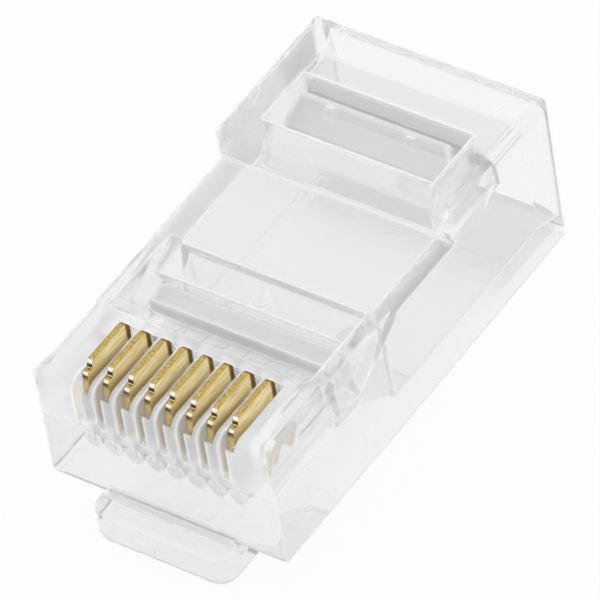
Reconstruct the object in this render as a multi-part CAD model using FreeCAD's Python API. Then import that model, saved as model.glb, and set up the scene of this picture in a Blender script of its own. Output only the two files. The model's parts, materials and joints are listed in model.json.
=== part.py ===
import FreeCAD, Part
import math
import os

# Eight-way modular plug for twisted-pair cable, as supplied: contacts up, not yet crimped.
# Millimetres. The plug is drawn in its own frame first: X across the contact row, Y from the nose
# face (0) to the cable entry, Z from the latch-side face (0) to the contact side. At the end every
# piece is turned and lowered together, so that the plug lies on its latch as it does on a table.

V = FreeCAD.Vector

# ---- driving sizes -------------------------------------------------------------------------
body_width = 11.68
body_length = 21.4
nose_height = 6.25
block_height = 7.8
block_front_y = 13.72
floor_thickness = 1.0
roof_thickness = 0.8
side_wall = 1.14
edge_radius = 0.6
block_edge_radius = 0.35
block_crease_z = 6.75
block_lean = 0.10
block_front_radius = 0.5
block_corner_radius = 0.28
block_rear_radius = 0.35
front_corner_radius = 0.35
rear_corner_radius = 0.42
nose_tip_radius = 0.6
nose_foot_radius = 0.45
foot_radius = 0.2

# contacts
ways = 8
pitch = 1.02
blade_thickness = 0.30
blade_front_y = 0.61
blade_length = 3.15
blade_top_z = 6.58
blade_height = 3.40
blade_heel_radius = 0.42
blade_crown_run = 0.52
blade_crown_drop = 0.36
blade_crown_radius = 0.20
blade_step_run = 0.13
blade_step_radius = 0.17
blade_draft = 0.04
blade_neck_drop = 1.45
crimp_travel = 0.60
slot_clearance = 0.02
slot_mouth_z = 4.1
tooth_count = 3
tooth_height = 0.62
tooth_tip = 0.12
tooth_gap = 0.22

# wire channels and the funnel that leads into them
channel_bore = 0.90
channel_front_y = 0.75
channel_gap = 0.12
funnel_front_y = 7.32
funnel_length = 1.90
funnel_side = 0.45
funnel_headroom = 0.25

# valley across the top and the wire anchor in it
valley_front_y = 4.30
valley_floor_z = 4.95
valley_top_inset = 0.92
valley_side_run = 0.52
wire_window_front_y = 5.90
wire_window_rear_y = 7.30
wire_anchor_depth = 1.0
wire_anchor_height = 1.45
wire_anchor_rise = 0.28
wire_anchor_travel = 0.85
wire_anchor_edge_radius = 0.08
wire_anchor_foot_radius = 0.12
valley_step = 0.45
valley_rear_y = 8.90
fit_clearance = 0.04

# cable entry and the cable anchor in its window
entry_height = 5.35
entry_flare = 0.45
entry_flare_length = 1.3
window_front_y = 15.05
window_rear_y = 18.15
window_width = 8.4
cable_anchor_ridge_y = 17.0
cable_anchor_toe_y = 15.95
cable_anchor_toe_z = 5.72
cable_anchor_toe_radius = 0.12
cable_anchor_crest_width = 0.12
cable_anchor_crest_run = 0.17
cable_anchor_crest_drop = 0.21
cable_anchor_crest_radius = 0.05
cable_anchor_back_run = 0.55
cable_anchor_back_radius = 0.45
cable_anchor_end_chamfer = 0.55
cable_anchor_pin = 0.26
cable_anchor_pin_inset = 0.13
cable_anchor_pin_rise = 0.16
cable_anchor_web = 0.30
cable_anchor_angle = 32.0
nub_spacing = 3.98
nub_shift = -0.10
nub_width = 0.42
nub_height = 0.46
nub_rise = 0.08
nub_drop = 0.10
lip_depth = 0.06

# side recesses of the nose and the block
ledge_z = 3.55
ledge_rear_y = 5.25
ledge_run = 3.45
ledge_rise = 1.90
ledge_skew = 2.2
recess_depth = 0.34
recess_front_depth = 0.13
recess_front_run = 1.1
recess_flare = 0.16
recess_panel_height = 1.3
recess_panel_radius = 0.3
recess_cove = 0.8
recess_cove_radius = 0.9
recess_edge_radius = 0.2
shoulder_y = 4.45
shoulder_growth = 0.10
nose_relief = 0.06
nose_relief_y = 6.39
block_recess_depth = 0.12
block_recess_rise = 0.30
block_recess_radius = 0.22
block_recess_z = 6.05
block_recess_y = 15.95
block_recess_run = 1.05

# latch
latch_width = 6.8
lever_width = 3.25
latch_reach = 0.98
latch_root_depth = 1.75
latch_knee_y = 1.3
latch_length = 14.6
latch_drop = 5.3
shoulder_at = 8.3
shoulder_thickness = 1.05
shoulder_edge_radius = 0.10
shoulder_corner_radius = 0.15
neck_at = 1.6
neck_thickness = 1.0
neck_radius = 0.8
lever_thickness = 0.88
lever_step = 0.30
lever_root_radius = 0.5
lever_tip_radius = 0.6
lever_nose_radius = 0.25
lever_crown_radius = 0.35
lever_overlap = 0.6
latch_corner_radius = 0.85
latch_edge_radius = 0.35
latch_top_radius = 0.20
hinge_radius = 0.35
hinge_boss_inset = 0.3
hinge_y = 0.45
hinge_sink = 0.30
latch_angle = 16.0

# gate marks
gate_radius = 0.38
gate_height = 0.10
gate_edge_radius = 0.08
top_gate_x = 0.32
top_gate_y = 7.75
latch_gate_x = -0.48
latch_gate_z = -0.93

# cutting tools run past the faces they open, and past one another
over = 1.0
overlap = 0.05
shortest_edge = 1e-6

# ---- worked-out sizes ----------------------------------------------------------------------
half_width = body_width / 2
slot_width = blade_thickness + 2 * slot_clearance
roof_z = nose_height - roof_thickness
cavity_half = half_width - side_wall
row_half = (ways - 1) * pitch / 2
blade_tip_z = blade_top_z - blade_height
channel_z = blade_tip_z - channel_gap - channel_bore / 2
funnel_rear_y = funnel_front_y + funnel_length
window_half = window_width / 2
far = 2 * body_length


# ---- helpers -------------------------------------------------------------------------------
def to_space(plane, u, v):
    """A point of a flat outline, put in space: 'yz' and 'xz' outlines stand, 'xy' ones lie."""
    if plane == "yz":
        return V(0, u, v)
    if plane == "xz":
        return V(u, 0, v)
    return V(u, v, 0)


def rounded_wire(plane, corners):
    """A closed wire through corners (u, v) or (u, v, radius), with each radius as a true arc."""
    starts, ends, mids = [], [], []
    count = len(corners)
    for i, corner in enumerate(corners):
        here = V(corner[0], corner[1], 0)
        radius = corner[2] if len(corner) > 2 else 0.0
        if radius <= 0:
            starts.append(here)
            ends.append(here)
            mids.append(None)
            continue
        before = corners[i - 1]
        after = corners[(i + 1) % count]
        back = (V(before[0], before[1], 0) - here).normalize()
        onward = (V(after[0], after[1], 0) - here).normalize()
        half_angle = back.getAngle(onward) / 2
        run = radius / math.tan(half_angle)
        middle = (back + onward).normalize()
        starts.append(here + back * run)
        ends.append(here + onward * run)
        mids.append(here + middle * (radius / math.sin(half_angle) - radius))
    edges = []
    for i in range(count):
        following = (i + 1) % count
        if mids[i] is not None:
            arc = [to_space(plane, p.x, p.y) for p in (starts[i], mids[i], ends[i])]
            edges.append(Part.Arc(*arc).toShape())
        tail = to_space(plane, ends[i].x, ends[i].y)
        head = to_space(plane, starts[following].x, starts[following].y)
        if tail.distanceToPoint(head) > shortest_edge:
            edges.append(Part.makeLine(tail, head))
    return Part.Wire(edges)


def prism(plane, corners, low, high):
    """Extrude an outline from low to high along the axis that its plane leaves free."""
    axis = {"yz": V(1, 0, 0), "xz": V(0, 1, 0), "xy": V(0, 0, 1)}[plane]
    face = Part.Face(rounded_wire(plane, corners))
    solid = face.extrude(axis * (high - low))
    solid.translate(axis * low)
    return solid


def block(x0, x1, y0, y1, z0, z1):
    return Part.makeBox(x1 - x0, y1 - y0, z1 - z0, V(x0, y0, z0))


def mirrored(shape):
    """The shape and its mirror image across the plug's middle."""
    return [shape, shape.mirror(V(0, 0, 0), V(1, 0, 0))]


def frustum(half_0, low_0, high_0, y0, half_1, low_1, high_1, y1):
    """A four-sided funnel between two rectangles across the plug, at y0 and y1."""
    wires = []
    for half, low, high, y in ((half_0, low_0, high_0, y0), (half_1, low_1, high_1, y1)):
        ring = [V(-half, y, low), V(half, y, low), V(half, y, high), V(-half, y, high)]
        wires.append(Part.makePolygon(ring + [ring[0]]))
    return Part.makeLoft(wires, True, True)


# ---- housing -------------------------------------------------------------------------------
def outer_form():
    """The nose and the cable block, before anything is cut into them."""
    side_profile = [
        (0, 0, nose_foot_radius),
        (body_length, 0, foot_radius),
        (body_length, nose_height),
        (0, nose_height, nose_tip_radius),
    ]
    section = [
        (-half_width, 0, foot_radius),
        (half_width, 0, foot_radius),
        (half_width, nose_height, edge_radius),
        (-half_width, nose_height, edge_radius),
    ]
    plan = [
        (-half_width, 0, front_corner_radius),
        (half_width, 0, front_corner_radius),
        (half_width, body_length, rear_corner_radius),
        (-half_width, body_length, rear_corner_radius),
    ]
    nose = prism("xz", section, 0, body_length)
    nose = nose.common(prism("yz", side_profile, -far, far))
    nose = nose.common(prism("xy", plan, -far, far))
    root_z = nose_height / 2
    top_half = half_width - block_lean
    upper = prism("xz", [
        (-half_width, root_z),
        (half_width, root_z),
        (half_width, block_crease_z),
        (top_half, block_height, block_edge_radius),
        (-top_half, block_height, block_edge_radius),
        (-half_width, block_crease_z),
    ], block_front_y, body_length)
    upper = upper.common(prism("yz", [
        (block_front_y, root_z),
        (body_length, root_z),
        (body_length, block_height, block_rear_radius),
        (block_front_y, block_height, block_front_radius),
    ], -far, far))
    upper = upper.common(prism("xy", [
        (-half_width, block_front_y, block_corner_radius),
        (half_width, block_front_y, block_corner_radius),
        (half_width, body_length, rear_corner_radius),
        (-half_width, body_length, rear_corner_radius),
    ], -far, far))
    upper = upper.cut(block(-far, far, block_front_y - over, block_front_y + block_front_radius,
                            0, nose_height - edge_radius))
    return nose.fuse(upper).removeSplitter()


def recess_cutter(depth, y0, y1):
    """What is taken off one upper side of the nose: a sloped panel, a cove and a rounded edge."""
    wall = half_width - depth
    panel_z = ledge_z + recess_panel_height
    return prism("xz", [
        (half_width + over, ledge_z),
        (half_width, ledge_z),
        (wall + recess_flare, panel_z, recess_panel_radius),
        (wall, panel_z + recess_cove, recess_cove_radius),
        (wall, nose_height, recess_edge_radius),
        (wall - edge_radius, nose_height),
        (wall - edge_radius, nose_height + over),
        (half_width + over, nose_height + over),
    ], y0, y1)


def ahead_of_ramp():
    """The space in front of the slanted plane that ends a nose recess at the rear."""
    foot = V(half_width, ledge_rear_y, ledge_z)
    along = V(0, ledge_run, ledge_rise)
    inward = V(-1, 0, ledge_skew * ledge_rise / ledge_run)
    normal = inward.cross(along).normalize()
    square = Part.makePlane(2 * far, 2 * far, V(0, 0, 0), normal)
    square.translate(foot - square.CenterOfMass)
    return square.extrude(-normal * far)


def nose_recess():
    """One side recess of the nose, shallow at the front face and ramped at the rear."""
    front = recess_cutter(recess_depth, -over, shoulder_y)
    rear = recess_cutter(recess_depth - shoulder_growth, shoulder_y, valley_rear_y + over)
    inner = half_width - recess_depth - edge_radius
    entry = prism("xy", [
        (half_width + over, -over),
        (half_width - recess_front_depth, -over),
        (half_width - recess_front_depth, 0),
        (half_width - recess_depth, recess_front_run),
        (inner - over, recess_front_run),
        (inner - over, body_length),
        (half_width + over, body_length),
    ], 0, nose_height + over)
    return front.fuse(rear).common(ahead_of_ramp()).common(entry)


def side_relief():
    """The thin layer taken off one side, from the nose face to a small step."""
    face = half_width - nose_relief
    return prism("xy", [
        (half_width + over, -over),
        (face, -over),
        (face, nose_relief_y - nose_relief),
        (half_width, nose_relief_y + nose_relief),
        (half_width + over, nose_relief_y + nose_relief),
    ], -over, nose_height + over)


def block_recess():
    """The shallow recess in one side of the cable block, slanted up to the crease at its rear."""
    wall = half_width - block_recess_depth
    rear_y = block_recess_y + block_recess_run
    inner = wall - block_edge_radius
    section = prism("xz", [
        (half_width + over, block_recess_z),
        (half_width, block_recess_z),
        (wall, block_recess_z + block_recess_rise),
        (wall, block_height, block_recess_radius),
        (inner, block_height),
        (inner, block_height + over),
        (half_width + over, block_height + over),
    ], block_front_y - over, rear_y)
    side = prism("yz", [
        (block_front_y - over, block_recess_z - over),
        (block_recess_y, block_recess_z - over),
        (block_recess_y, block_recess_z),
        (rear_y, block_crease_z),
        (rear_y, block_height + over),
        (block_front_y - over, block_height + over),
    ], 0, far)
    return section.common(side)


def valley_cutter():
    """The V across the top, behind the contacts, with its step over the wire anchor."""
    profile = [
        (valley_front_y, nose_height),
        (wire_window_front_y, valley_floor_z),
        (wire_window_rear_y, valley_floor_z + wire_anchor_rise),
        (wire_window_rear_y, valley_floor_z + wire_anchor_rise + valley_step),
        (valley_rear_y, nose_height),
        (valley_rear_y, nose_height + over),
        (valley_front_y, nose_height + over),
    ]
    top_half = half_width - valley_top_inset
    low_half = top_half - valley_side_run
    rise = nose_height - valley_floor_z
    grow = over * valley_side_run / rise
    sides = [
        (-low_half, valley_floor_z),
        (low_half, valley_floor_z),
        (top_half + grow, nose_height + over),
        (-top_half - grow, nose_height + over),
    ]
    return prism("yz", profile, -far, far).common(prism("xz", sides, 0, body_length))


def wire_anchor_low():
    """Height of the wire anchor's lower face before it is pressed."""
    return valley_floor_z + wire_anchor_rise - wire_anchor_height


def wire_space():
    """Channels under the contacts, the shaft of the wire anchor and the funnel behind it."""
    cuts = []
    reach = wire_window_front_y - channel_front_y + overlap
    for way in range(ways):
        start = V(way * pitch - row_half, channel_front_y, channel_z)
        cuts.append(Part.makeCylinder(channel_bore / 2, reach, start, V(0, 1, 0)))
    row_edge = row_half + channel_bore / 2
    low = channel_z - channel_bore / 2
    high = channel_z + channel_bore / 2 + funnel_headroom
    cuts.append(block(-row_edge, row_edge, wire_window_front_y, funnel_front_y + overlap,
                      low, high))
    shaft_half = half_width - valley_top_inset - valley_side_run
    shaft_low = wire_anchor_low() - wire_anchor_travel - 2 * fit_clearance
    cuts.append(block(-shaft_half, shaft_half, wire_window_front_y, wire_window_rear_y,
                      shaft_low, nose_height))
    cuts.append(frustum(row_edge, low, high, funnel_front_y,
                        cavity_half - funnel_side, floor_thickness, roof_z - funnel_side,
                        funnel_rear_y))
    return cuts


def cable_space():
    """The cable cavity, its flared mouth and the window of the cable anchor."""
    entry_top = floor_thickness + entry_height
    flare_front = body_length - entry_flare_length
    rear = body_length + over
    top = block_height + over
    return [
        block(-cavity_half, cavity_half, funnel_rear_y, window_rear_y, floor_thickness, roof_z),
        block(-cavity_half, cavity_half, window_rear_y - overlap, rear, floor_thickness, entry_top),
        frustum(cavity_half, floor_thickness, entry_top, flare_front,
                cavity_half + entry_flare * 2, floor_thickness - entry_flare,
                entry_top + entry_flare * 2, body_length + entry_flare_length),
        block(-window_half, window_half, window_front_y, window_rear_y, floor_thickness, top),
        block(-window_half, window_half, window_rear_y - overlap, rear,
              block_height - lip_depth, top),
    ]


def contact_slot(x):
    rear = blade_front_y + blade_length + slot_clearance
    front = blade_front_y - slot_clearance
    return prism("yz", [
        (-over, slot_mouth_z),
        (front, slot_mouth_z),
        (front, channel_z),
        (rear, channel_z),
        (rear, nose_height + over),
        (-over, nose_height + over),
    ], x - slot_width / 2, x + slot_width / 2)


def hinge_axis_latch():
    return V(0, hinge_y, -hinge_sink)


def hinge_axis_cable_anchor():
    entry_top = floor_thickness + entry_height
    return V(0, window_rear_y - cable_anchor_pin_inset, entry_top + cable_anchor_pin_rise)


def cylinder_x(radius, half_length, centre):
    return Part.makeCylinder(radius, 2 * half_length, centre - V(half_length, 0, 0), V(1, 0, 0))


def gate_mark(centre, normal):
    dome = Part.makeCylinder(gate_radius, 2 * gate_height, centre - normal * gate_height, normal)
    rim = [edge for edge in dome.Edges if (edge.CenterOfMass - centre).dot(normal) > gate_height / 2]
    return dome.makeFillet(gate_edge_radius, rim)


def top_gate():
    """The gate mark on the valley's rear slope."""
    foot_z = valley_floor_z + wire_anchor_rise + valley_step
    run = valley_rear_y - wire_window_rear_y
    rise = nose_height - foot_z
    z = foot_z + rise * (top_gate_y - wire_window_rear_y) / run
    return gate_mark(V(top_gate_x, top_gate_y, z), V(0, -rise, run).normalize())


def make_housing():
    solid = outer_form()
    cuts = mirrored(nose_recess()) + mirrored(side_relief()) + mirrored(block_recess())
    cuts += [valley_cutter()] + wire_space() + cable_space()
    cuts += [contact_slot(way * pitch - row_half) for way in range(ways)]
    cuts.append(cylinder_x(cable_anchor_pin + fit_clearance, window_half,
                           hinge_axis_cable_anchor()))
    for cut in cuts:
        solid = solid.cut(cut)
    boss = cylinder_x(hinge_radius, latch_width / 2 - hinge_boss_inset, hinge_axis_latch())
    return solid.fuse([boss, top_gate()]).removeSplitter()


# ---- contacts ------------------------------------------------------------------------------
def make_contact(x):
    """A flat blade: two rounded steps at the front, a rounded rear corner and piercing teeth."""
    top = blade_top_z
    front = blade_front_y
    rear = front + blade_length
    root_z = blade_tip_z + tooth_height
    step_z = top - blade_crown_drop
    corners = [
        (rear, top, blade_heel_radius),
        (front + blade_crown_run, top, blade_crown_radius),
        (front + blade_crown_run - blade_draft, step_z),
        (front + blade_step_run, step_z, blade_step_radius),
        (front, top - blade_neck_drop),
        (front, root_z),
    ]
    tooth_pitch = (blade_length + tooth_gap) / tooth_count
    for tooth in range(tooth_count):
        start = front + tooth * tooth_pitch
        end = start + tooth_pitch - tooth_gap
        middle = (start + end) / 2
        if tooth > 0:
            corners.append((start, root_z))
        corners.append((middle - tooth_tip / 2, blade_tip_z))
        corners.append((middle + tooth_tip / 2, blade_tip_z))
        corners.append((end, root_z))
    half = blade_thickness / 2
    return prism("yz", corners, x - half, x + half)


# ---- wire anchor ---------------------------------------------------------------------------
def make_wire_anchor():
    rear = wire_window_rear_y - fit_clearance
    front = rear - wire_anchor_depth
    half = half_width - valley_top_inset - valley_side_run - fit_clearance
    top_rear = valley_floor_z + wire_anchor_rise
    slope = wire_anchor_rise / (wire_window_rear_y - wire_window_front_y)
    top_front = top_rear - slope * wire_anchor_depth
    low = wire_anchor_low()
    return prism("yz", [
        (front, top_front, wire_anchor_edge_radius),
        (front, low, wire_anchor_foot_radius),
        (rear, low, wire_anchor_foot_radius),
        (rear, top_rear, wire_anchor_edge_radius),
    ], -half, half)


# ---- cable anchor --------------------------------------------------------------------------
def anchor_face_y(z):
    """How far back the cable anchor's sloping front face is at a given height."""
    run = cable_anchor_ridge_y - cable_anchor_toe_y
    return cable_anchor_toe_y + run * (z - cable_anchor_toe_z) / (block_height - cable_anchor_toe_z)


def anchor_nub(x):
    """One of the two small marks that stand out of the cable anchor's front face."""
    high = block_height - nub_drop
    low = high - nub_height
    return prism("yz", [
        (anchor_face_y(low) - nub_rise, low),
        (anchor_face_y(low) + overlap, low),
        (anchor_face_y(high) + overlap, high),
        (anchor_face_y(high) - nub_rise, high),
    ], x - nub_width / 2, x + nub_width / 2)


def make_cable_anchor():
    """A wedge-shaped bar on a thin web: ridge level with the block, toe down in the cavity."""
    axis = hinge_axis_cable_anchor()
    half = window_half - fit_clearance
    web = cable_anchor_web / 2
    crest_z = block_height - cable_anchor_crest_drop
    crest_y = anchor_face_y(crest_z) + cable_anchor_crest_run
    low = axis.z + web
    bar = prism("yz", [
        (cable_anchor_toe_y, cable_anchor_toe_z, cable_anchor_toe_radius),
        (axis.y, axis.z - web),
        (axis.y, low),
        (cable_anchor_ridge_y + cable_anchor_back_run, low, cable_anchor_back_radius),
        (crest_y + cable_anchor_crest_width, block_height, cable_anchor_crest_radius),
        (crest_y, block_height, cable_anchor_crest_radius),
        (anchor_face_y(crest_z), crest_z),
    ], -half, half)
    pin = cylinder_x(cable_anchor_pin, half, axis)
    nubs = [anchor_nub(nub_shift + side * nub_spacing / 2) for side in (-1, 1)]
    bar = bar.fuse([pin] + nubs)
    for corner in mirrored(prism("xz", [
        (half + over, low),
        (half, low),
        (half - cable_anchor_end_chamfer, block_height),
        (half - cable_anchor_end_chamfer, block_height + over),
        (half + over, block_height + over),
    ], 0, body_length)):
        bar = bar.cut(corner)
    return bar.removeSplitter()


# ---- latch ---------------------------------------------------------------------------------
def arm_slope():
    return (latch_drop - latch_root_depth) / (latch_length - latch_knee_y)


def underside_z(y):
    """Height of the straight underside, from the knee behind the root to the lever's tip."""
    return -latch_root_depth - arm_slope() * (y - latch_knee_y)


def latch_root():
    """The block in front of the nose, its front and side edges rounded below and above."""
    half = latch_width / 2
    root = prism("xy", [
        (-half, -latch_reach, latch_corner_radius),
        (half, -latch_reach, latch_corner_radius),
        (half, latch_knee_y),
        (-half, latch_knee_y),
    ], -latch_root_depth, -fit_clearance)
    for level, radius in ((-latch_root_depth, latch_edge_radius), (-fit_clearance, latch_top_radius)):
        rim = []
        for edge in root.Edges:
            middle = edge.CenterOfMass
            if abs(middle.z - level) < overlap / 2 and middle.y < latch_knee_y - overlap:
                rim.append(edge)
        root = root.makeFillet(radius, rim)
    return root


def latch_arm():
    """The root's section, with its rounded lower corners, swept along the sloping underside."""
    half = latch_width / 2
    section = Part.Face(rounded_wire("xz", [
        (-half, -latch_root_depth, latch_edge_radius),
        (half, -latch_root_depth, latch_edge_radius),
        (half, body_length),
        (-half, body_length),
    ]))
    run = shoulder_at - latch_knee_y + over
    arm = section.extrude(V(0, run, -arm_slope() * run))
    arm.translate(V(0, latch_knee_y, 0))
    return arm


def make_latch():
    """Root block, wide arm with its locking shoulders, narrow lever."""
    axis = hinge_axis_latch()
    socket = hinge_radius + fit_clearance
    half = latch_width / 2
    lever_half = lever_width / 2
    shoulder_z = underside_z(shoulder_at)
    shoulder_top = shoulder_z + shoulder_thickness
    tip_z = underside_z(latch_length)
    side = [
        (-latch_reach - over, -fit_clearance),
        (-latch_reach - over, -latch_drop),
        (shoulder_at, -latch_drop),
        (shoulder_at, shoulder_top, shoulder_edge_radius),
        (neck_at, underside_z(neck_at) + neck_thickness, neck_radius),
        (axis.y + socket, axis.z),
        (axis.y, -fit_clearance),
    ]
    lever_side = [
        (shoulder_at - lever_overlap, shoulder_z + lever_step),
        (shoulder_at, shoulder_z + lever_step),
        (latch_length, tip_z, lever_nose_radius),
        (latch_length, tip_z + lever_thickness, lever_crown_radius),
        (shoulder_at, shoulder_top - overlap),
        (shoulder_at - lever_overlap, shoulder_top - overlap),
    ]
    plan = [
        (-half, -latch_reach - over),
        (half, -latch_reach - over),
        (half, shoulder_at, shoulder_corner_radius),
        (lever_half, shoulder_at, lever_root_radius),
        (lever_half, latch_length, lever_tip_radius),
        (-lever_half, latch_length, lever_tip_radius),
        (-lever_half, shoulder_at, lever_root_radius),
        (-half, shoulder_at, shoulder_corner_radius),
    ]
    body = latch_root().fuse(latch_arm()).common(prism("yz", side, -half, half))
    body = body.fuse(prism("yz", lever_side, -lever_half, lever_half))
    body = body.common(prism("xy", plan, -far, far))
    body = body.cut(cylinder_x(socket, latch_width, axis))
    mark = gate_mark(V(latch_gate_x, -latch_reach, latch_gate_z), V(0, -1, 0))
    return body.fuse(mark).removeSplitter()


# ---- assembly ------------------------------------------------------------------------------
def rest_angle():
    """Slope of the table: it touches the root's rounded front edge and the rounded lever tip."""
    front_y = -latch_reach + latch_edge_radius
    front_z = -latch_root_depth + latch_edge_radius
    tip_y = latch_length - lever_nose_radius
    tip_z = underside_z(tip_y) + lever_nose_radius * math.hypot(1, arm_slope())
    span = math.hypot(tip_y - front_y, tip_z - front_z)
    fall = math.asin((front_z - tip_z) / span)
    return fall - math.asin((latch_edge_radius - lever_nose_radius) / span)


def rest_placement(shapes):
    """Turn the plug onto its latch, put the lowest point at Z = 0 and centre its footprint."""
    tilt = FreeCAD.Rotation(V(1, 0, 0), math.degrees(rest_angle()))
    turned = [shape.copy() for shape in shapes]
    for shape in turned:
        shape.Placement = FreeCAD.Placement(V(0, 0, 0), tilt).multiply(shape.Placement)
    box = Part.makeCompound(turned).optimalBoundingBox(False, False)
    shift = V(0, -(box.YMin + box.YMax) / 2, -box.ZMin)
    return FreeCAD.Placement(shift, tilt)


def main():
    nodes = {
        "housing": make_housing(),
        "latch": make_latch(),
        "wire_anchor": make_wire_anchor(),
        "cable_anchor": make_cable_anchor(),
    }
    for way in range(ways):
        nodes["contact_%d" % (way + 1)] = make_contact(way * pitch - row_half)
    placement = rest_placement(list(nodes.values()))
    os.makedirs("parts", exist_ok=True)
    for name, shape in nodes.items():
        shape.Placement = placement.multiply(shape.Placement)
        print(name, "valid", shape.isValid(), "solids", len(shape.Solids),
              "volume %.3f" % shape.Volume)
        shape.exportStep("parts/%s.step" % name)
    places = {
        "latch axis": hinge_axis_latch(),
        "cable anchor axis": hinge_axis_cable_anchor(),
        "nose face centre": V(0, 0, slot_mouth_z / 2),
        "entry centre": V(0, body_length, floor_thickness + entry_height / 2),
        "lever tip": V(0, latch_length, underside_z(latch_length)),
    }
    for name, point in places.items():
        p = placement.multVec(point)
        print("%s (%.4f, %.4f, %.4f)" % (name, p.x, p.y, p.z))
    for name, direction in (("up", V(0, 0, 1)), ("back", V(0, 1, 0))):
        d = placement.Rotation.multVec(direction)
        print("%s direction (%.6f, %.6f, %.6f)" % (name, d.x, d.y, d.z))
    motions = {
        "latch, degrees": latch_angle,
        "cable anchor, degrees": cable_anchor_angle,
        "wire anchor, mm": wire_anchor_travel,
        "contacts, mm": crimp_travel,
    }
    for name, reach in motions.items():
        print("motion of the %s: 0 to %.2f" % (name, reach))


main()
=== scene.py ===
# %% [markdown]
# # A clear eight-way modular plug
# This lesson dresses a modular plug for network cable. The housing, the latch and the two
# anchors are moulded from clear polycarbonate, and the eight contacts are stamped, gold plated
# blades. All of these have one fixed, packed model behind them, which says where each piece is
# and how it moves. The lesson gives the plastic its look, models the blades again with finer
# edges, and sets a camera, a floor and a soft studio round the plug.

# %% Load the packed model
import json
from math import pi, radians

import bmesh
import bpy
from mathutils import Matrix, Vector


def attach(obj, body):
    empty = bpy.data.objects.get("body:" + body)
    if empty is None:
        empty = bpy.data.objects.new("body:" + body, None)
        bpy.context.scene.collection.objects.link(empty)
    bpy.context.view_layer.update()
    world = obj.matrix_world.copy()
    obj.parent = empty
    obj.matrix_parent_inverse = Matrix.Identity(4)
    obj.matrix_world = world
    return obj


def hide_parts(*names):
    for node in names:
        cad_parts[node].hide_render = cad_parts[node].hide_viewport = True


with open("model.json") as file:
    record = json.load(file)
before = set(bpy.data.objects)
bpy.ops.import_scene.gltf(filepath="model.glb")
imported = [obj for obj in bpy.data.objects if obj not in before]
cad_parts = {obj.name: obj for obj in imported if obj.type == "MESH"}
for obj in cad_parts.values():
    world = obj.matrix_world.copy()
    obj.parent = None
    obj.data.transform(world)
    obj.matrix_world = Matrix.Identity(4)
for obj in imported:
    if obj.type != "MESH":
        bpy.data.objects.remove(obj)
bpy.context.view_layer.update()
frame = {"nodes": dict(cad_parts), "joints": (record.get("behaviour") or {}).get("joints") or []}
scene = bpy.context.scene
print("nodes:", ", ".join(frame["nodes"]))

# %% [markdown]
# ## The plug's own directions
# The plug rests on its latch, so it leans back a little. Blades, slots and teeth are drawn along
# the plug's own directions, and it is easier to write their sizes in those. The direction up
# comes from the travel of a contact, which is pressed straight down into the housing, and the
# origin comes from the axis of the latch. `plug` is then the matrix that takes a point written
# in the plug's own frame to its place in the room.

# %% The plug's own frame
MM = 0.001
LATCH_AXIS = Vector((0, 0.45, -0.30)) * MM

joints = {joint["name"]: joint for joint in frame["joints"]}
plug_up = -Vector(joints["contact_1_press"]["axis"])
plug_side = Vector((1, 0, 0))
plug_rear = plug_up.cross(plug_side)
plug = Matrix((plug_side, plug_rear, plug_up)).transposed().to_4x4()
plug.translation = Vector(joints["latch_flex"]["pos_m"]) - plug.to_3x3() @ LATCH_AXIS
print("the plug's origin, mm:", [round(v / MM, 3) for v in plug.translation])

# %% [markdown]
# ## The camera
# A small object looks right from far away through a long lens, because its parallel edges then
# stay almost parallel. A short lens close up is the other way, and it would make the nose of the
# plug swell. The camera starts at a target inside the plug, is turned round it, raised and
# rolled, and then backs away. All of this is in the plug's own frame, so it always sees the same
# side of the plug.

# %% Camera
CAMERA_TARGET = Vector((1.094, 9.2133, 4.8437)) * MM
CAMERA_AZIMUTH = radians(40.6288)
CAMERA_ELEVATION = radians(44.5128)
CAMERA_ROLL = radians(-9.9775)
CAMERA_DISTANCE = 335 * MM
SENSOR_WIDTH = 36
FOCAL_LENGTH = 493.578

camera_data = bpy.data.cameras.new("camera")
camera_data.sensor_width = SENSOR_WIDTH
camera_data.lens = FOCAL_LENGTH
camera_data.clip_start = 50 * MM
camera_data.clip_end = 5
camera = bpy.data.objects.new("camera", camera_data)
scene.collection.objects.link(camera)
scene.camera = camera
turned = Matrix.Rotation(CAMERA_AZIMUTH, 4, "Z") @ Matrix.Rotation(pi / 2 - CAMERA_ELEVATION, 4, "X")
rolled = turned @ Matrix.Rotation(CAMERA_ROLL, 4, "Z")
camera.matrix_world = (plug @ Matrix.Translation(CAMERA_TARGET) @ rolled
                       @ Matrix.Translation((0, 0, CAMERA_DISTANCE)))
scene.view_settings.view_transform = "Standard"
print("camera at, mm:", [round(v / MM, 1) for v in camera.matrix_world.translation])

# %% [markdown]
# ## Shader maths as plain expressions
# A material is a graph of nodes. Linking Math nodes by hand is slow to read, so a small class
# wraps one output of a node and overloads the operators: `1 - mask` then adds a Subtract node
# and returns its output. The reflected forms let a plain number stand on the left. Every other
# node comes from one method, `add`, which sets the node's settings first and its sockets after.

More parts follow.
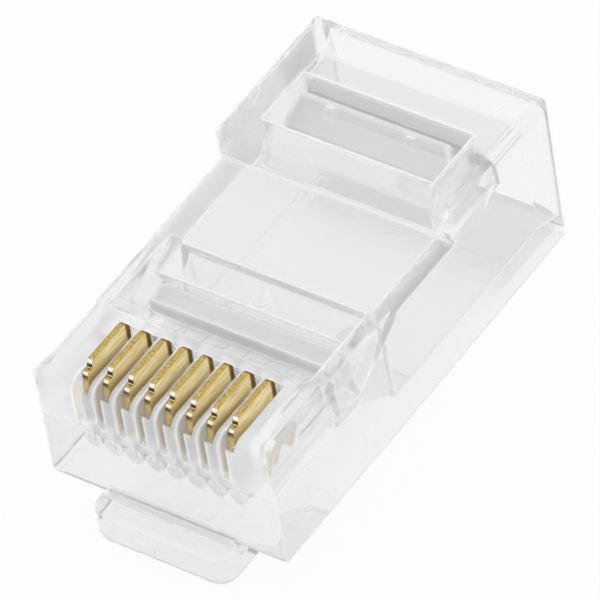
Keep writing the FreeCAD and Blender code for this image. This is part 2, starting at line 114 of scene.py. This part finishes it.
# %% Socket class
class Socket:
    """One output of a shader node. Arithmetic on it adds Math nodes to the same tree."""

    def __init__(self, tree, output):
        self.tree = tree
        self.output = output

    def add(self, kind, output=0, settings=None, **inputs):
        """A new node in this tree; inputs are named, or numbered as in_0, in_1."""
        node = self.tree.nodes.new(kind)
        for key, value in (settings or {}).items():
            setattr(node, key, value)
        for key, value in inputs.items():
            index = int(key[3:]) if key.startswith("in_") else key.replace("_", " ")
            target = node.inputs[index]
            if isinstance(value, Socket):
                self.tree.links.new(value.output, target)
            else:
                target.default_value = value
        return Socket(self.tree, node.outputs[output] if node.outputs else None)

    def math(self, operation, first, second=0.0):
        return self.add("ShaderNodeMath", settings={"operation": operation},
                        in_0=first, in_1=second)

    def __add__(self, other):
        return self.math("ADD", self, other)

    def __radd__(self, other):
        return self.math("ADD", other, self)

    def __sub__(self, other):
        return self.math("SUBTRACT", self, other)

    def __rsub__(self, other):
        return self.math("SUBTRACT", other, self)

    def __mul__(self, other):
        return self.math("MULTIPLY", self, other)

    def __rmul__(self, other):
        return self.math("MULTIPLY", other, self)

    def __mod__(self, other):
        return self.math("MODULO", self, other)

    def __gt__(self, other):
        return self.math("GREATER_THAN", self, other)

    def __abs__(self):
        return self.math("ABSOLUTE", self)

    def most(self, other):
        return self.math("MAXIMUM", self, other)

    def least(self, other):
        return self.math("MINIMUM", self, other)

    def step(self, start, end):
        """0 before start and 1 past end."""
        return self.add("ShaderNodeMapRange", Value=self, From_Min=start, From_Max=end,
                        To_Min=0.0, To_Max=1.0)

    def over(self, limit, soft):
        """1 from the limit on, and 0 before a soft border that ends at the limit."""
        return self.step(limit - soft, limit)

    def under(self, limit, soft):
        """1 up to the limit, and 0 past a soft border that starts at the limit."""
        return self.step(limit + soft, limit)

    def dot(self, other):
        """The dot product with a vector, which the Vector Math node gives at Value."""
        return self.add("ShaderNodeVectorMath", output="Value",
                        settings={"operation": "DOT_PRODUCT"}, in_0=self, in_1=other)

    def colours(self, low, high):
        """A colour that goes from low to high as this value goes from 0 to 1."""
        return self.add("ShaderNodeMix", output=2, settings={"data_type": "RGBA"},
                        in_0=self, in_6=low, in_7=high)


operators = [name for name in vars(Socket) if name.startswith("__") and name != "__init__"]
print("operators:", ", ".join(name.strip("_") for name in operators if callable(vars(Socket)[name])))

# %% [markdown]
# ## A material and its coordinates
# Every finish starts from the same two things: the Object coordinates, which stay with the
# piece when it moves, and the output node. `in_plug` turns those coordinates into millimetres
# along the plug's own directions, so a finish can say "near the row of contacts" with the same
# numbers that the drawing of the plug uses. `facing` tells which way a surface looks.

# %% New material, plug coordinates
def start_tree(tree, coordinates):
    """An emptied node tree, and the first socket in it."""
    tree.nodes.clear()
    return Socket(tree, None).add("ShaderNodeTexCoord", output=coordinates)


def new_material(name):
    material = bpy.data.materials.new(name)
    material.use_nodes = True
    return material, start_tree(material.node_tree, "Object")


def finish_material(material, surface):
    surface.add("ShaderNodeOutputMaterial", Surface=surface)
    print("material:", material.name, "with", len(material.node_tree.nodes), "nodes")


plug_inverse = plug.inverted()
plug_rows = [tuple(row) for row in plug_inverse.to_3x3()]


def in_plug(where):
    """Millimetres to the side, to the rear and up, in the plug's own frame."""
    return [(where.dot(row) + shift) * (1 / MM)
            for row, shift in zip(plug_rows, plug_inverse.translation)]


def normal(where):
    return where.add("ShaderNodeNewGeometry", output="Normal")


def facing(where, direction):
    """1 where the surface looks along a direction, 0 where it stands square to it."""
    return normal(where).dot(tuple(direction))


print("the room's origin in the plug's frame, mm:",
      [round(v / MM, 3) for v in plug_inverse.translation])

# %% [markdown]
# ## Painted highlights on the edges
# Clear plastic is seen by its edges: each rounded corner gathers light from a wide part of the
# room and shows as a soft pale line. Here that pale line is painted on as a highlight. The Bevel
# node gives the normal that the surface would have if its corners were rounded by a given radius.
# Where that normal leaves the true one, the surface is near a corner. The difference makes the
# mask of the painted highlight, with no extra geometry.

# %% Edge mask
EDGE_RADIUS = 0.45 * MM
EDGE_GAIN = 7.0


# The mask says where the pale edge highlight is painted on the haze.
def edge_highlight_mask(where):
    rounded = where.add("ShaderNodeBevel", settings={"samples": 8}, Radius=EDGE_RADIUS)
    return ((1.0 - rounded.dot(normal(where))) * EDGE_GAIN).least(1.0)


print("edges are pale within", round(EDGE_RADIUS / MM, 2), "mm of a corner")

# %% [markdown]
# ## The row of blades
# The blades stand in eight slots at the nose, a fixed pitch apart. These sizes are needed twice,
# once for the plastic between the slots and once for the blades, so they come first. They are in
# millimetres, along the plug's own directions.

# %% Sizes of the row
WAYS = 8
PITCH = 1.02
ROW_HALF = (WAYS - 1) * PITCH / 2
BLADE_THICKNESS = 0.30
BLADE_FRONT = 0.61
BLADE_REAR = BLADE_FRONT + 3.15
BLADE_TOP = 6.58
print("blades at, mm:", [round(way * PITCH - ROW_HALF, 2) for way in range(WAYS)])

# %% [markdown]
# ## Clear strips beside the blades
# The housing is one piece of plastic, yet it doesn't look the same all over. It can't be cut up
# for that, so masks in the plug's millimetres choose the finish by place. The first is for the
# tops of the ribs, through which the side of each blade shows as a pale gold band. Haze would
# cover it, so a strip beside each blade is left clear. The strips lie only to the right of the
# blades, the side that shows at the camera's angle. On a real plug the left sides show too.

# %% Mask of the clear strips
STRIP_NEAR = 0.15
STRIP_FAR = 0.57
STRIPS_LEFT = -ROW_HALF + 0.10
STRIPS_RIGHT = ROW_HALF + 0.58
STRIPS_FRONT = 0.06
STRIPS_REAR = 3.72
STRIPS_FOOT = 5.70


def clear_strips(x, y, z):
    from_blade = (x + (ROW_HALF + PITCH)) % PITCH
    strip = from_blade.over(STRIP_NEAR, soft=0.01) * from_blade.under(STRIP_FAR, soft=0.01)
    row = x.over(STRIPS_LEFT, soft=0.10) * x.under(STRIPS_RIGHT, soft=0.02)
    length = y.over(STRIPS_FRONT, soft=0.04) * y.under(STRIPS_REAR, soft=0.06)
    return strip * row * length * z.over(STRIPS_FOOT, soft=0.50)


print("clear strips are", round(STRIP_FAR - STRIP_NEAR, 2), "mm wide")

# %% [markdown]
# ## The nose and the mouths of its slots
# Eight slots and eight wire channels put many small walls behind each other in the nose, and
# they turn it milky. Tracing that through real refraction needs many bounces and gives hard
# streaks, so a share of haze is laid on by place. It also hides the buried part of the blades
# more than a real nose does. The walls of the slots' mouths are white, and since they look
# sideways, the normal picks them out.

# %% Masks of the nose
NOSE_REAR = 4.25
NOSE_FOOT = 4.0
MOUTH_REAR = 0.65
SLOTS_HALF = 4.2


def nose_zone(y, z):
    return y.under(NOSE_REAR, soft=0.1) * z.over(NOSE_FOOT, soft=1.2)


def mouth_walls(where, x, y):
    sideways = abs(facing(where, plug_side)).over(0.9, soft=0.1)
    return sideways * y.under(MOUTH_REAR, soft=0.1) * abs(x).under(SLOTS_HALF, soft=0.1)


print("the milky nose ends", NOSE_REAR, "mm behind the front")

# %% [markdown]
# ## The cable cavity
# The cable cavity shows a little darker towards its mouth at the rear, and so does the deep,
# narrow gap behind the ridge of the cable anchor. Soft light passes straight through the clear
# part of this plastic, so hollows in it don't darken by themselves. The shade is laid on by
# place instead, and in the cavity it fades in over a few millimetres.

# %% Masks of the cavity
CAVITY_HALF = 4.62
CAVITY_DARK = 18.0
CAVITY_TOP = 6.35
GAP_HALF = 4.12
GAP_FRONT = 17.2
GAP_REAR = 18.2
GAP_FOOT = 5.7
GAP_TOP = 7.5


# Where the painted shade lies: the rear of the cavity and the gap behind the ridge.
def cavity_shade_zone(x, y, z):
    cavity = abs(x).under(CAVITY_HALF, soft=0.04) * y.over(CAVITY_DARK, soft=3.4)
    cavity = cavity * z.under(CAVITY_TOP, soft=0.1)
    gap = abs(x).under(GAP_HALF, soft=0.04) * y.over(GAP_FRONT, soft=0.1)
    gap = gap * y.under(GAP_REAR, soft=0.1)
    return cavity.most(gap * (z.over(GAP_FOOT, soft=0.1) * z.under(GAP_TOP, soft=0.2)))


print("the cavity is darkest from", CAVITY_DARK, "mm on")

# %% [markdown]
# ## Clear polycarbonate
# Moulded polycarbonate is clear, yet a plug in a white room looks pale grey, with light edges
# and a faint lavender tone, because its many inner walls scatter some of the light. Glass with
# a strong refraction shows dark outlines and hard streaks wherever so many walls overlap. So
# the finish is a mix of a clear shader for the depth and a pale haze for the body.
#
# The clear part refracts by 1.2 only, which is a choice for the look and not the plastic's own
# value of about 1.58. Diffuse light and shadow rays pass straight through it, which keeps the
# inner walls light. So does light that has been mirrored more than once, because it would run
# out of bounces and turn black.

# %% The clear part
THIN = (0.998, 0.998, 1.0, 1)
REFRACTION = 1.2
MIRRORED_ONCE = 1.5


def clear_part(where, strips):
    glass = where.add("ShaderNodeBsdfPrincipled", Base_Color=THIN, Roughness=0.0,
                      IOR=REFRACTION, Transmission_Weight=1.0)
    thin = where.add("ShaderNodeBsdfTransparent", Color=THIN)
    mirrored_often = where.add("ShaderNodeLightPath", output="Glossy Depth") > MIRRORED_ONCE
    soft_light = where.add("ShaderNodeLightPath", output="Is Diffuse Ray")
    shadow = where.add("ShaderNodeLightPath", output="Is Shadow Ray")
    straight = mirrored_often.most(soft_light).most(shadow).most(strips)
    return where.add("ShaderNodeMixShader", in_0=straight, in_1=glass, in_2=thin)


print("the clear part refracts by", REFRACTION)

# %% [markdown]
# ## Haze over the clear part
# The haze is a pale, slightly glossy plastic. It is whitest and thickest at the edges, where it is
# a painted highlight, white on the walls of the slots' mouths, a painted grey shade in the cavity,
# and almost absent in the clear strips. How much of it there is goes to the Mix Shader's factor,
# and its tone to the Base Color.

# %% Clear plastic
FACE = (0.88, 0.88, 0.90, 1)
NOSE = (0.95, 0.95, 0.96, 1)
# Grey of the painted shade in the cavity and the gap behind the ridge.
CAVITY_SHADE_TONE = (0.60, 0.60, 0.62, 1)
# White of the painted edge highlight, also used for the walls of the slots' mouths.
EDGE = (1.0, 1.0, 1.0, 1)
# Extra haze that carries the painted shade.
CAVITY_SHADE_HAZE = 0.40
NOSE_HAZE = 0.42
STRIP_CLEARNESS = 0.97


def clear_plastic(name, face_haze, edge_highlight_haze):
    material, where = new_material(name)
    x, y, z = in_plug(where)
    edge = edge_highlight_mask(where)
    strips = clear_strips(x, y, z)
    nose = nose_zone(y, z)
    # The mask of the painted shade in the cavity and the gap.
    cavity = cavity_shade_zone(x, y, z)
    # Painted highlight: white along the corners, except in the cavity's shade, and white mouth
    # walls.
    white = (edge * (1.0 - cavity)).most(mouth_walls(where, x, y))
    tone = white.colours(cavity.colours(nose.colours(FACE, NOSE), CAVITY_SHADE_TONE), EDGE)
    haze = where.add("ShaderNodeBsdfPrincipled", Base_Color=tone, Roughness=0.1, IOR=1.5)
    # The painted edge highlight also takes a larger share of haze.
    share = (edge * (edge_highlight_haze - face_haze) + face_haze).most(cavity * CAVITY_SHADE_HAZE)
    share = share * (1.0 - strips * STRIP_CLEARNESS)
    share = share.most((1.0 - strips) * nose * NOSE_HAZE)
    finish_material(material, where.add("ShaderNodeMixShader", in_0=share,
                                        in_1=clear_part(where, strips), in_2=haze))
    return material


clear = clear_plastic("clear_plastic", face_haze=0.25, edge_highlight_haze=0.75)

# %% [markdown]
# ## Hazier anchors
# The two anchors are the same plastic as the housing, and each is seen as a light, nearly solid
# bar. They get the same finish with a larger share of haze. The CAD pieces keep their meshes,
# and only their materials are exchanged.

# %% Plastic on the moulded pieces
anchor = clear_plastic("anchor_plastic", face_haze=0.60, edge_highlight_haze=0.80)
for name, plastic in {"housing": clear, "latch": clear,
                      "wire_anchor": anchor, "cable_anchor": anchor}.items():
    node = frame["nodes"][name]
    node.data.materials.clear()
    node.data.materials.append(plastic)
    print(name, "is", plastic.name)

# %% [markdown]
# ## Gold plate
# The blades are copper alloy with a thin gold plating. Their top edges show darker and
# speckled, and their sides smooth and pale, with fine lines along the blade. The grain of both
# could be an image, but noise on the blade's own coordinates needs no file and differs on all
# eight.

# %% Speckle and fine lines
SPECKLES_PER_METRE = 12000.0
LINES_PER_MM = 9.0
LINE_STRETCH = 0.12


def speckle(where):
    return where.add("ShaderNodeTexNoise", Vector=where, Scale=SPECKLES_PER_METRE, Detail=3.0,
                     Roughness=0.6).step(0.35, 0.7)


def fine_lines(where, x, y, z):
    drawn_out = where.add("ShaderNodeCombineXYZ", X=x, Y=y * LINE_STRETCH, Z=z)
    return where.add("ShaderNodeTexNoise", Vector=drawn_out, Scale=LINES_PER_MM,
                     Detail=2.0).step(0.35, 0.65)


print("speckles are about", round(1 / SPECKLES_PER_METRE / MM, 3), "mm apart")

# %% [markdown]
# ## Tones of the blades
# The tones are laid over each other from the plainest to the smallest. First come the dark top
# and the pale side, with a painted shade that darkens the side low down and towards the front.
# Over them go the upright faces at the front, with painted brown shade on the upper step, then the
# heel at the rear, painted brown as a dark reflection, and last painted highlights, bright glints
# on the corners that look forwards and up.

# %% Gold tones
TOP = (0.38, 0.26, 0.05, 1)
TOP_SPECK = (0.74, 0.58, 0.23, 1)
SIDE = (0.66, 0.51, 0.23, 1)
SIDE_LINE = (0.84, 0.70, 0.40, 1)
# Painted shade on the side of a blade, low down and towards the front.
SIDE_LOW_SHADE = (0.50, 0.37, 0.15, 1)
FRONT = (0.78, 0.58, 0.24, 1)
# Painted brown: shade on the upper step at the front, and a dark reflection on the heel.
SHADE_AND_DARK_REFLECTION = (0.16, 0.09, 0.02, 1)
# Painted highlight: the bright glints on corners that look forwards and up.
GLINT_HIGHLIGHT = (1.0, 0.96, 0.84, 1)
LOW_SLOPE = 0.30
LOW_FROM = BLADE_TOP - 0.35
UPPER_STEP = 6.0
HEEL = BLADE_REAR - 0.22


def gold_tone(where, side, speck):
    x, y, z = in_plug(where)
    # Mask of the painted shade: the side darkens low down and towards the front.
    low = (z + y * LOW_SLOPE).under(LOW_FROM, soft=0.45)
    flank = low.colours(fine_lines(where, x, y, z).colours(SIDE, SIDE_LINE), SIDE_LOW_SHADE)
    tone = side.colours(speck.colours(TOP, TOP_SPECK), flank)
    upright = facing(where, -plug_rear).over(0.97, soft=0.22) * (1.0 - side)
    # Painted shade: the upright faces of the upper step are brown.
    tone = upright.colours(tone, z.over(UPPER_STEP, soft=0.2).colours(FRONT, SHADE_AND_DARK_REFLECTION))
    # Painted dark reflection: the rounded heel at the rear is brown.
    tone = y.over(HEEL, soft=0.12).colours(tone, SHADE_AND_DARK_REFLECTION)
    # Painted highlight: corners that look forwards and up are made bright.
    corner = facing(where, (plug_up - plug_rear).normalized()).over(0.97, soft=0.07)
    return (corner * (1.0 - side)).colours(tone, GLINT_HIGHLIGHT)


print("the heel starts", round(HEEL, 2), "mm behind the front")

# %% [markdown]
# ## One metallic shader
# In an even white room a flat side mirrors the blade next to it, and turns dark. Its shading
# normal is leaned towards the plug's top, so that it mirrors the bright room above instead.
# That is a shortcut for the look, and not how a flat side mirrors. The speckle also goes to a
# Bump node on the top edges, and the sides are a little rougher than the tops.

# %% Gold finish
SIDE_LEAN = 1.15
SIDE_ROUGHNESS = 0.36
TOP_ROUGHNESS = 0.24


def gold_plate(name):
    material, where = new_material(name)
    side = abs(facing(where, plug_side)).over(0.95, soft=0.20)
    speck = speckle(where)
    leaned = where.add("ShaderNodeVectorMath", settings={"operation": "MULTIPLY_ADD"},
                       in_0=side, in_1=tuple(plug_up * SIDE_LEAN), in_2=normal(where))
    leaned = where.add("ShaderNodeVectorMath", settings={"operation": "NORMALIZE"}, in_0=leaned)
    bump = where.add("ShaderNodeBump", Height=speck * (1.0 - side), Strength=0.35,
                     Distance=0.01 * MM, Normal=leaned)
    rough = side * (SIDE_ROUGHNESS - TOP_ROUGHNESS) + TOP_ROUGHNESS
    metal = where.add("ShaderNodeBsdfPrincipled", Base_Color=gold_tone(where, side, speck),
                      Roughness=rough, Metallic=1.0, Normal=bump)
    finish_material(material, metal)
    return material


gold = gold_plate("gold_plate")

# %% [markdown]
# ## The blades
# A contact is a flat blade with two steps at the front, a rounded rear corner, and three teeth
# below that bite into the wire. It could be cut from a box with boolean shapes. Drawing its
# outline and extruding it by the thickness is nearer to how a press stamps it. The outline goes
# from the rear corner over the crown and down the front, and then along the teeth.

# %% Blade outline
TOOTH_HEIGHT = 0.62
TIP = BLADE_TOP - 3.40
ROOT = TIP + TOOTH_HEIGHT
TEETH = 3
TOOTH_GAP = 0.22
TOOTH_TIP = 0.12
CROWN_RUN = 0.52
CROWN_DRAFT = 0.04
STEP_RUN = 0.13
STEP_Z = BLADE_TOP - 0.36
NECK_Z = BLADE_TOP - 1.45

crown_y = BLADE_FRONT + CROWN_RUN
outline = [(BLADE_REAR, BLADE_TOP), (crown_y, BLADE_TOP), (crown_y - CROWN_DRAFT, STEP_Z),
           (BLADE_FRONT + STEP_RUN, STEP_Z), (BLADE_FRONT, NECK_Z), (BLADE_FRONT, ROOT)]
tooth_pitch = (BLADE_REAR - BLADE_FRONT + TOOTH_GAP) / TEETH
for tooth in range(TEETH):
    start = BLADE_FRONT + tooth * tooth_pitch
    end = start + tooth_pitch - TOOTH_GAP
    middle = (start + end) / 2
    if tooth:
        outline.append((start, ROOT))
    outline += [(middle - TOOTH_TIP / 2, TIP), (middle + TOOTH_TIP / 2, TIP), (end, ROOT)]
print("corners in the outline:", len(outline))

# %% [markdown]
# ## From outline to blade
# The outline is one flat face. Three of its corners are rounded, each with its own radius, by a
# bevel that works on vertices. The face is then pushed sideways by the blade's thickness, and
# every sharp edge gets a narrow rim that catches the light. The mesh is drawn in the plug's
# millimetres and taken to its place in the room last, so the object itself stays at the origin,
# unturned and unscaled.

# %% Make a blade
REAR_CORNER = 0
CROWN_CORNER = 1
STEP_CORNER = 3
CORNER_RADII = {REAR_CORNER: 0.42, CROWN_CORNER: 0.20, STEP_CORNER: 0.17}
RIM = 0.03
SHARP_ANGLE = 1.2


def make_blade(name, x):
    mesh = bmesh.new()
    corners = [mesh.verts.new((x - BLADE_THICKNESS / 2, y, z)) for y, z in outline]
    mesh.faces.new(corners)
    for index, radius in CORNER_RADII.items():
        bmesh.ops.bevel(mesh, geom=[corners[index]], offset=radius, offset_type="OFFSET",
                        segments=6, profile=0.5, affect="VERTICES", material=-1)
    pushed = bmesh.ops.extrude_face_region(mesh, geom=mesh.faces[:])
    moved = [item for item in pushed["geom"] if isinstance(item, bmesh.types.BMVert)]
    bmesh.ops.translate(mesh, verts=moved, vec=(BLADE_THICKNESS, 0, 0))
    bmesh.ops.recalc_face_normals(mesh, faces=mesh.faces[:])
    sharp_edges = [edge for edge in mesh.edges if edge.calc_face_angle(0) > SHARP_ANGLE]
    bmesh.ops.bevel(mesh, geom=sharp_edges, offset=RIM, segments=2, profile=0.5,
                    affect="EDGES", material=-1, clamp_overlap=True)
    bmesh.ops.transform(mesh, matrix=plug @ Matrix.Scale(MM, 4), verts=mesh.verts[:])
    data = bpy.data.meshes.new(name)
    mesh.to_mesh(data)
    mesh.free()
    data.materials.append(gold)
    piece = bpy.data.objects.new(name, data)
    scene.collection.objects.link(piece)
    return piece


print("a blade has", len(CORNER_RADII), "rounded corners and a rim of", RIM, "mm")

# %% [markdown]
# ## Eight blades in their slots
# Each blade rides on the body of its own contact, so it sinks into the nose when that contact is
# pressed. It takes the place of the CAD contact, which isn't shown.

# %% Place the blades
for way in range(WAYS):
    blade = make_blade(f"blade_{way + 1}", way * PITCH - ROW_HALF)
    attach(blade, f"contact_{way + 1}")
    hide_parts(f"contact_{way + 1}")
print("blades:", WAYS, "with", len(blade.data.polygons), "faces each")

# %% [markdown]
# ## The floor
# The plug lies on a plain white table. A bright table could be lit with strong lamps, but they
# would wash out the pale plastic. Instead the floor shows a plain white to the camera and to
# mirrored and refracted rays, mixed with a diffuse surface that still takes the plug's shadow.

# %% Floor
FLOOR_SIZE = 4
SHOWN_WHITE = 0.92

bpy.ops.mesh.primitive_plane_add(size=FLOOR_SIZE, location=(0, 0, 0))
floor = bpy.context.object
floor.name = "floor"
paper, where = new_material("floor_paper")
matt = where.add("ShaderNodeBsdfDiffuse", Color=(0.92, 0.92, 0.92, 1))
white = where.add("ShaderNodeEmission", Color=(1, 1, 1, 1), Strength=1.0)
seen, mirrored, refracted = [where.add("ShaderNodeLightPath", output=f"Is {ray} Ray")
                             for ray in ("Camera", "Glossy", "Transmission")]
shown = seen.most(mirrored).most(refracted) * SHOWN_WHITE
finish_material(paper, where.add("ShaderNodeMixShader", in_0=shown, in_1=matt, in_2=white))
floor.data.materials.append(paper)

# %% [markdown]
# ## The studio
# A clear object on white needs light from everywhere, as in a light tent. Lamps could do it, but
# each would add its own glint to every wall of the plastic. The world is an even white instead,
# at a level where a colour renders about as it is written. It is slightly lower towards the
# horizon, so that upright walls come out a little greyer than flat ones.

# %% World
HORIZON_LIGHT = 0.92
ZENITH_LIGHT = 1.0

world = bpy.data.worlds.new("light_tent")
scene.world = world
world.use_nodes = True
sky = start_tree(world.node_tree, "Generated")
height = sky.add("ShaderNodeSeparateXYZ", output="Z", in_0=sky)
level = sky.add("ShaderNodeMapRange", Value=height, From_Min=-0.2, From_Max=0.9,
                To_Min=HORIZON_LIGHT, To_Max=ZENITH_LIGHT)
tent = sky.add("ShaderNodeBackground", Color=(1, 1, 1, 1), Strength=level)
sky.add("ShaderNodeOutputWorld", Surface=tent)
print("light tent from", HORIZON_LIGHT, "at the horizon to", ZENITH_LIGHT, "overhead")

# %% [markdown]
# ## The end
